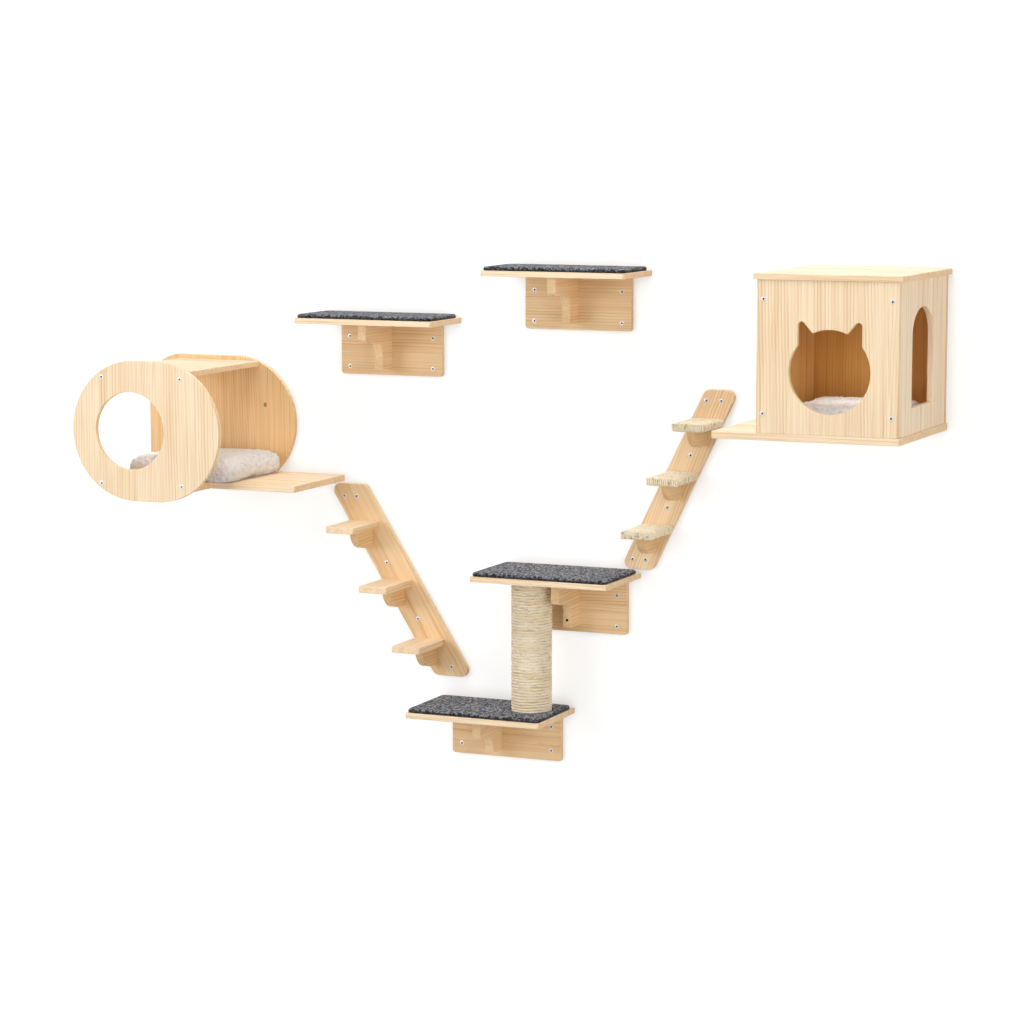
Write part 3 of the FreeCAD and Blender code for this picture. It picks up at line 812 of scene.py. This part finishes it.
class WALL_OT_cushions(bpy.types.Operator):
    """Fill the two plush cushions by a cloth simulation and give them their fleece"""
    bl_idname = "climbing_wall.cushions"
    bl_label = "Plush cushions"

    def execute(self, context):
        for seed, home in enumerate(("tunnel", "house")):
            node, body = f"{home}_cushion", f"{home}_pillow"
            low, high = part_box(node)
            cushion = cushion_body(low, high)
            filled(cushion)
            fleeced(cushion, low, high)
            finish = plush_finish(f"plush_{home}", seed * 2.3)
            kept(cushion, f"{home}_plush", finish, "plush", body, node)
        return {"FINISHED"}


# Sisal

STRANDS = 3
VALLEY = 0.30                   # depth of the valleys between strands, as a share of the radius
ROPE_ROWS, ROPE_SIDES = 9, 12   # rings of points in one twist of the rope, and points in a ring
CORD_ROWS, CORD_SIDES = 6, 9    # the same for the thinner cord
TURN_STEPS = 40                 # points in one turn round the post
SQUEEZE = 1.04                  # the rope's turns are pressed together, and touch
END_GAP = 0.0002                # between the rope's ends and the shelves
COVER = 0.42                    # how much of the cord's thickness lies outside a step's edges
RING_PITCH, FRONT_PITCH = 0.93, 0.95    # distance of two cords, as a share of their thickness
FRONT_SINK, FRONT_OVER = 0.35, 0.4      # how far the upright cords stand off and reach over
STEP_PLAY = 0.0012              # left free along a step


def twisted_rope(length, thickness, lay, rows, sides):
    """A straight rope along X from the origin, its strands laid in a twist, closed at both ends."""
    count = max(2, round(length / (lay / rows)))
    rope = added(bpy.ops.mesh.primitive_circle_add, vertices=sides, radius=thickness / 2,
                 fill_type="NOTHING", rotation=(0, math.pi / 2, 0))
    for i, vertex in enumerate(rope.data.vertices):
        dip = 0.5 + 0.5 * math.cos(2 * math.pi * i * STRANDS / sides)
        vertex.co = vertex.co * (1.0 - VALLEY * dip ** 2)
    pick(rope, "vertices", everything)
    bpy.ops.mesh.extrude_region_move(TRANSFORM_OT_translate={"value": (length / count, 0, 0)})
    done()
    modified(rope, "ARRAY", count=count, use_merge_vertices=True, merge_threshold=thickness / 200)
    for at in (0, length):
        pick(rope, "vertices", lambda vertex: abs(vertex.co.x - at) < length / count / 4)
        bpy.ops.mesh.edge_face_add()
        done()
    return modified(rope, "SIMPLE_DEFORM", deform_method="TWIST", deform_axis="X",
                    angle=2 * math.pi * length / lay)


def laid_on(path, thickness, lay, rows, sides, closed=False):
    """A rope bent along a path, which is thrown away. On a closed path its two ends meet."""
    take(path)
    bpy.ops.object.convert(target="CURVE")
    curve = bpy.context.object
    curve.data.dimensions = "3D"
    curve.data.twist_mode = "MINIMUM" if closed else "Z_UP"
    length = sum(spline.calc_length() for spline in curve.data.splines)
    if closed:
        lay = length / round(length / lay)
    rope = twisted_rope(length, thickness, lay, rows, sides)
    modified(rope, "CURVE", object=curve, deform_axis="POS_X")
    bpy.data.objects.remove(curve)
    return rope


def winding_path(radius, turns, rise):
    """The path of a winding: one point, screwed round the Z axis."""
    point = added(bpy.ops.mesh.primitive_plane_add, size=0.001, location=(radius, 0, 0))
    pick(point, "vertices", everything)
    bpy.ops.mesh.merge(type="CENTER")
    done()
    return modified(point, "SCREW", axis="Z", angle=2 * math.pi, iterations=turns,
                    screw_offset=rise, steps=TURN_STEPS, render_steps=TURN_STEPS,
                    use_normal_calculate=False)


class WALL_OT_post_rope(bpy.types.Operator):
    """Wind the three-strand sisal rope round the post, from the lower shelf to the upper one"""
    bl_idname = "climbing_wall.post_rope"
    bl_label = "Post rope"

    def execute(self, context):
        sisal = settings().sisal
        low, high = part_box("post_core")
        centre = (low + high) / 2
        windings_low, windings_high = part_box("sisal_windings")
        radius = centre.x - windings_low.x - sisal.rope / 2
        room = high.z - low.z - sisal.rope
        turns = round(room / sisal.pitch)
        path = winding_path(radius, turns, (room - 2 * END_GAP) / turns)
        rope = laid_on(path, sisal.rope * SQUEEZE, sisal.rope * sisal.lay, ROPE_ROWS, ROPE_SIDES)
        moved(rope, Vector((centre.x, centre.y, low.z + sisal.rope / 2 + END_GAP)))
        ruffled(rope, "wander", size=0.030, strength=0.0045, direction="Z")
        ruffled(rope, "loose lay", size=0.010, strength=0.0022, mid_level=0.55)
        for vertex in rope.data.vertices:
            vertex.co.z = min(max(vertex.co.z, low.z + HAIR), high.z - HAIR)
        finish = sisal_finish("sisal_post", grain=(45, 45, 420), depth=0.42)
        kept(smoothed(rope), "post_rope", finish, "sisal", FRAME_BODY, "sisal_windings")
        return {"FINISHED"}


def step_ring(low, high, cord):
    """The path of one turn round a step's section, with rounded corners."""
    middle = (low + high) / 2
    half_x, half_z = (high.x - low.x) / 2, (high.z - low.z) / 2
    ring = added(bpy.ops.mesh.primitive_plane_add, size=2, rotation=(math.pi / 2, 0, 0))
    bpy.ops.object.mode_set(mode="EDIT")
    bpy.ops.mesh.select_all(action="SELECT")
    bpy.ops.transform.resize(value=(half_x, 1, half_z))
    bpy.ops.mesh.delete(type="ONLY_FACE")
    bpy.ops.mesh.select_all(action="SELECT")
    bpy.ops.mesh.bevel(affect="VERTICES", offset=min(half_z * 0.7, cord), segments=3)
    bpy.ops.transform.translate(value=(middle.x, 0, middle.z))
    done()
    return ring


def cord_front(low, high, at, cord, lay):
    """Short upright lengths of cord, side by side, that close the front of a step."""
    length = high.z - low.z + cord * FRONT_OVER
    rope = take(twisted_rope(length, cord, lay, CORD_ROWS, CORD_SIDES))
    bpy.ops.transform.rotate(value=math.pi / 2, orient_axis="Y", center_override=(0, 0, 0))
    bpy.ops.object.transform_apply(rotation=True)
    room = high.x - low.x
    count = round(room / (cord * FRONT_PITCH))
    row(rope, count, (room / (count - 1), 0, 0))
    foot = min(vertex.co.z for vertex in rope.data.vertices)
    return moved(rope, Vector((low.x, at, (low.z + high.z - length) / 2 - foot)))


class WALL_OT_step_cords(bpy.types.Operator):
    """Wind sisal cord round the three steps of the right ladder"""
    bl_idname = "climbing_wall.step_cords"
    bl_label = "Step cords"

    def execute(self, context):
        sisal = settings().sisal
        cord, lay = sisal.cord, sisal.cord * sisal.lay
        cover = Vector((cord * COVER, 0, cord * COVER))
        finish = sisal_finish("sisal_steps", grain=(110, 420, 110), depth=0.80)
        for number in (1, 2, 3):
            low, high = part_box(f"right_ladder_step_{number}")
            low, high = low - cover, high + cover
            room = high.y - low.y - STEP_PLAY
            count = round(room / (cord * RING_PITCH))
            path = step_ring(low, high, cord)
            rings = laid_on(path, cord, lay, CORD_ROWS, CORD_SIDES, closed=True)
            row(rings, count, (0, room / count, 0))
            moved(rings, Vector((0, low.y + room / count / 2, 0)))
            front = cord_front(low, high, low.y - cord * FRONT_SINK, cord, lay)
            wrap = joined([rings, front])
            ruffled(wrap, "loose cord", size=0.009, strength=0.0010)
            kept(smoothed(wrap), f"right_ladder_cord_{number}", finish, "sisal", FRAME_BODY)
        return {"FINISHED"}


# Screws

# Places on the ladders and the two fronts, in millimetres; the wall plates' are in the record
SCREWS = {
    "left_ladder_board": [(-490, 635), (-452, 635), (-360, 455), (-266, 304), (-164, 176.5)],
    "right_ladder_board": [(572, 938), (614, 938), (529, 792), (465, 650), (367, 507), (404, 507)],
    "tunnel_front_panel": [(-1012, 979), (-771, 980), (-1016, 690), (-768, 691)],
    "house_front_panel": [(869, 1234), (1197, 1234), (869, 952), (1197, 952)],
}
HEAD, SHANK = 0.0024, 0.009         # thickness of a head, and length of the shank behind it
RIM, WELL = 0.10, 0.36              # rounding and recess of a head, as shares of its radius
CROSS_LONG, CROSS_WIDE = 0.62, 0.14
RECESS_PAINTED_SHADE = 0.05                         # painted shade: how much light the recess gives back, beside the head
LYING = (math.pi / 2, 0, 0)


def plate_screws(shelf):
    """Places of the four screws of a wall plate, from the record's own mount."""
    mount = next(m for m in frame["record"]["mounts"] if m["name"] == f"{shelf}_screws")
    half_x, half_z = (mount["dims"][key] / 2000 for key in ("spacing_x_mm", "spacing_y_mm"))
    x, _, z = mount["pos_m"]
    return [(x + i * half_x, z + j * half_z) for i in (-1, 1) for j in (-1, 1)]


def screw_head(radius, proud):
    """A countersunk head with a cross recess and the start of its shank, proud of Y = 0."""
    head = disc(radius, HEAD, (0, HEAD / 2, 0), sides=32, rotation=LYING)
    pick(head, "polygons", lambda face: face.normal.y > 0.9)
    bpy.ops.transform.resize(value=(0.5, 1, 0.5))
    bpy.ops.mesh.extrude_region_move(TRANSFORM_OT_translate={"value": (0, SHANK, 0)})
    done()
    bevelled(head, lambda start, end: max(start.y, end.y) < HAIR, radius * RIM, segments=2)
    cut(head, disc(radius * WELL, proud * 1.5, (0, 0, 0), sides=24, rotation=LYING))
    for wide, high in ((CROSS_LONG, CROSS_WIDE), (CROSS_WIDE, CROSS_LONG)):
        corner = Vector((radius * wide, proud * 0.85, radius * high))
        cut(head, block((-corner.x, -0.001, -corner.z), corner))
    take(moved(head, Vector((0, -proud, 0))))
    bpy.ops.object.shade_smooth_by_angle(angle=math.radians(35))
    return head


def copied(piece, move, turn):
    """A copy with its own mesh, turned about Y and moved."""
    copy = piece.copy()
    copy.data = piece.data.copy()
    bpy.context.scene.collection.objects.link(copy)
    copy.data.transform(Matrix.Translation(move) @ Matrix.Rotation(turn, 4, "Y"))
    return copy


class WALL_OT_screws(bpy.types.Operator):
    """Set the zinc screws into the plates, the ladders and the two house fronts"""
    bl_idname = "climbing_wall.screws"
    bl_label = "Screws"

    def execute(self, context):
        screw = settings().screw
        steel, recess = steel_finish("zinc_screw", 1.0), steel_finish("zinc_recess", RECESS_PAINTED_SHADE)
        head = screw_head(screw.radius, screw.proud)
        rows = {f"{shelf}_wall_plate": plate_screws(shelf) for shelf in SHELVES}
        rows.update({node: [(x / 1000, z / 1000) for x, z in SCREWS[node]] for node in SCREWS})
        for node, places in rows.items():
            face_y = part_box(node)[0].y
            heads = [copied(head, Vector((x, face_y, z)), 1.1 * i + x * 7)
                     for i, (x, z) in enumerate(places)]
            name = node.rsplit("_", 1)[0] + "_screws"
            screws = kept(joined(heads), name, steel, None, FRAME_BODY)
            # The faces in the recess get the darker material: painted shade
            screws.data.materials.append(recess)
            for face in screws.data.polygons:
                out = min(math.hypot(face.center.x - x, face.center.z - z) for x, z in places)
                sunk = face.center.y > face_y - screw.proud * 0.95
                face.material_index = int(sunk and out < screw.radius * 0.66)
        bpy.data.objects.remove(head)
        return {"FINISHED"}


# Stage

WALL_SIZE, FLOOR_SIZE = 14, 28
WALL_GAP = 0.0006           # between the wall and the backs of the pieces
STUDIO = (0.60, 0.60, 0.60)
SHADOW_REACH = 0.05         # how near a piece has to be for the wall's painted shadow
WHITE, PAINTED_SHADOW_GLOW = 0.66, 0.42  # glow of the wall in the open, and the lower glow beside a piece that paints its shadow
ROOM_LIGHT = (0.25, 0.235, 0.21)

# Place, aim, width, height and watts
LAMPS = {
    "key": ((-4.2, -5.6, 1.9), (-0.1, -0.1, 0.6), 3.6, 3.0, 178),
    "fill": ((6.6, -4.8, 1.7), (0.0, 0, 0.6), 4.5, 4.5, 230),
    "top": ((-0.2, -1.8, 4.8), (0.0, -0.2, 0.6), 4.0, 2.0, 120),
    "rear": ((-0.3, 5.5, 1.8), (0.0, 0.0, 0.6), 4.0, 3.0, 160),
}

# Small lamps that look down inside the house and the tunnel: place and watts
INNER_LAMPS = {"room": ((1.03, -0.20, 1.26), 0.22), "tunnel": ((-0.98, -0.22, 0.975), 0.18)}
INNER_SIZE, INNER_SPREAD = 0.20, math.radians(70)


def studio_finish(name, one_sided):
    """A matt surface that lights the set as grey and looks white, with the set's shadow, and with
    painted shadow where its glow drops beside the pieces.

    One that is one-sided can be looked through from behind. It also lets light and shadow rays
    pass, and rays that start on it, so that the backs of the pieces aren't black."""
    ground = Finish(name, **{"Specular IOR Level": 0.0})
    dust = ground.noise(ground.object, 3.0, detail=1.0)
    tint = ground.mix(dust, opaque(STUDIO), opaque(STUDIO, 0.985))
    ground.finish(tint, 1.0, dust, depth=0.0001, strength=0.1)
    # Painted shadow: the glow drops where a piece is near
    painted_shadow_ao = {"Distance": SHADOW_REACH}
    painted_shadow_ao = ground.add("ShaderNodeAmbientOcclusion", painted_shadow_ao, samples=8).outputs["AO"]
    glow = {"Color": opaque((1, 1, 1)), "Strength": ground.span(painted_shadow_ao, 0.35, 0.95, PAINTED_SHADOW_GLOW, WHITE)}
    glow = ground.add("ShaderNodeEmission", glow).outputs[0]
    shade = ground.add("ShaderNodeBsdfDiffuse", {"Color": opaque((0.5, 0.5, 0.5))}).outputs[0]
    lit = ground.add("ShaderNodeAddShader", {0: shade, 1: glow}).outputs[0]
    faces = {0: ground.seen(), 1: ground.shader.outputs[0], 2: lit}
    surface = ground.add("ShaderNodeMixShader", faces).outputs[0]
    if one_sided:
        path = ground.add("ShaderNodeLightPath").outputs
        back = ground.add("ShaderNodeNewGeometry").outputs["Backfacing"]
        touching = ground.calc("LESS_THAN", path["Ray Length"], 0.001)
        hidden = ground.highest(back, touching, path["Is Shadow Ray"])
        clear = ground.add("ShaderNodeBsdfTransparent").outputs[0]
        surface = ground.add("ShaderNodeMixShader", {0: hidden, 1: surface, 2: clear}).outputs[0]
    ground.feed(ground.output.inputs["Surface"], surface)
    return ground.material


def area_light(name, place, aim, width, height, watts):
    """A soft lamp that looks at a point."""
    drop_selection()
    bpy.ops.object.light_add(type="AREA", location=place)
    lamp = bpy.context.object
    lamp.name = name
    lamp.data.shape = "RECTANGLE"
    lamp.data.size, lamp.data.size_y = width, height
    lamp.data.energy = watts
    lamp.rotation_euler = (Vector(aim) - Vector(place)).to_track_quat("-Z", "Y").to_euler()
    return lamp


class WALL_OT_stage(bpy.types.Operator):
    """Set up the white wall, the pale floor, the soft lamps and the camera"""
    bl_idname = "climbing_wall.stage"
    bl_label = "Stage"

    def execute(self, context):
        stage = settings().stage
        low, high = CAD_BOX
        middle = (Vector(low) + Vector(high)) / 2
        foot = low[2] - stage.drop
        wall = added(bpy.ops.mesh.primitive_plane_add, size=WALL_SIZE, rotation=LYING,
                     location=(middle.x, WALL_GAP, foot + WALL_SIZE / 2))
        floor = added(bpy.ops.mesh.primitive_plane_add, size=FLOOR_SIZE,
                      location=(middle.x, 0, foot))
        for piece, name, one_sided in ((wall, "studio_wall", True), (floor, "studio_floor", False)):
            piece.name = name
            piece.data.materials.append(studio_finish(name, one_sided))

        for name, choices in LAMPS.items():
            area_light(name, *choices)
        for name, (place, watts) in INNER_LAMPS.items():
            lamp = area_light(name, place, (*place[:2], 0), INNER_SIZE, INNER_SIZE, watts)
            lamp.data.spread = INNER_SPREAD

        world = bpy.data.worlds.new("studio")
        bpy.context.scene.world = world
        sky = Nodes(world)
        colour = sky.mix(sky.seen(), opaque(ROOM_LIGHT), opaque((1, 1, 1)))
        background = sky.add("ShaderNodeBackground", {"Color": colour}).outputs[0]
        sky.add("ShaderNodeOutputWorld", {"Surface": background})

        drop_selection()
        bpy.ops.object.camera_add(location=stage.place)
        camera = bpy.context.object
        flat = math.cos(stage.pitch)
        look = Vector((-math.sin(stage.yaw) * flat, math.cos(stage.yaw) * flat,
                       -math.sin(stage.pitch)))
        camera.rotation_euler = look.to_track_quat("-Z", "Y").to_euler()
        camera.data.lens = stage.lens
        camera.data.sensor_width = 36
        bpy.context.scene.camera = camera
        bpy.context.scene.view_settings.view_transform = "Standard"
        return {"FINISHED"}


class WALL_PT_panel(bpy.types.Panel):
    """The pieces of the set and their sizes and colours"""
    bl_label = "Climbing wall"
    bl_idname = "WALL_PT_panel"
    bl_space_type = "VIEW_3D"
    bl_region_type = "UI"
    bl_category = "Climbing wall"

    def draw(self, context):
        for operator in OPERATORS:
            self.layout.operator(operator.bl_idname)
        for group in ("wood", "carpet", "plush", "sisal", "screw", "stage"):
            box = self.layout.box()
            box.label(text=group.capitalize())
            values = getattr(settings(), group)
            for name in values.bl_rna.properties.keys():
                if name not in ("rna_type", "name"):
                    box.prop(values, name)


OPERATORS = (WALL_OT_boards, WALL_OT_carpet_pads, WALL_OT_cushions, WALL_OT_post_rope,
             WALL_OT_step_cords, WALL_OT_screws, WALL_OT_stage)
CLASSES = (WoodSettings, CarpetSettings, PlushSettings, SisalSettings, ScrewSettings, StageSettings,
           WallSettings, *OPERATORS, WALL_PT_panel)


def register():
    for kind in CLASSES:
        bpy.utils.register_class(kind)
    bpy.types.Scene.climbing_wall = PointerProperty(type=WallSettings)


def unregister():
    del bpy.types.Scene.climbing_wall
    for kind in reversed(CLASSES):
        bpy.utils.unregister_class(kind)


def main():
    register()
    bpy.ops.climbing_wall.boards()
    bpy.ops.climbing_wall.carpet_pads()
    bpy.ops.climbing_wall.cushions()
    bpy.ops.climbing_wall.post_rope()
    bpy.ops.climbing_wall.step_cords()
    bpy.ops.climbing_wall.screws()
    bpy.ops.climbing_wall.stage()


if __name__ == "__main__":
    main()
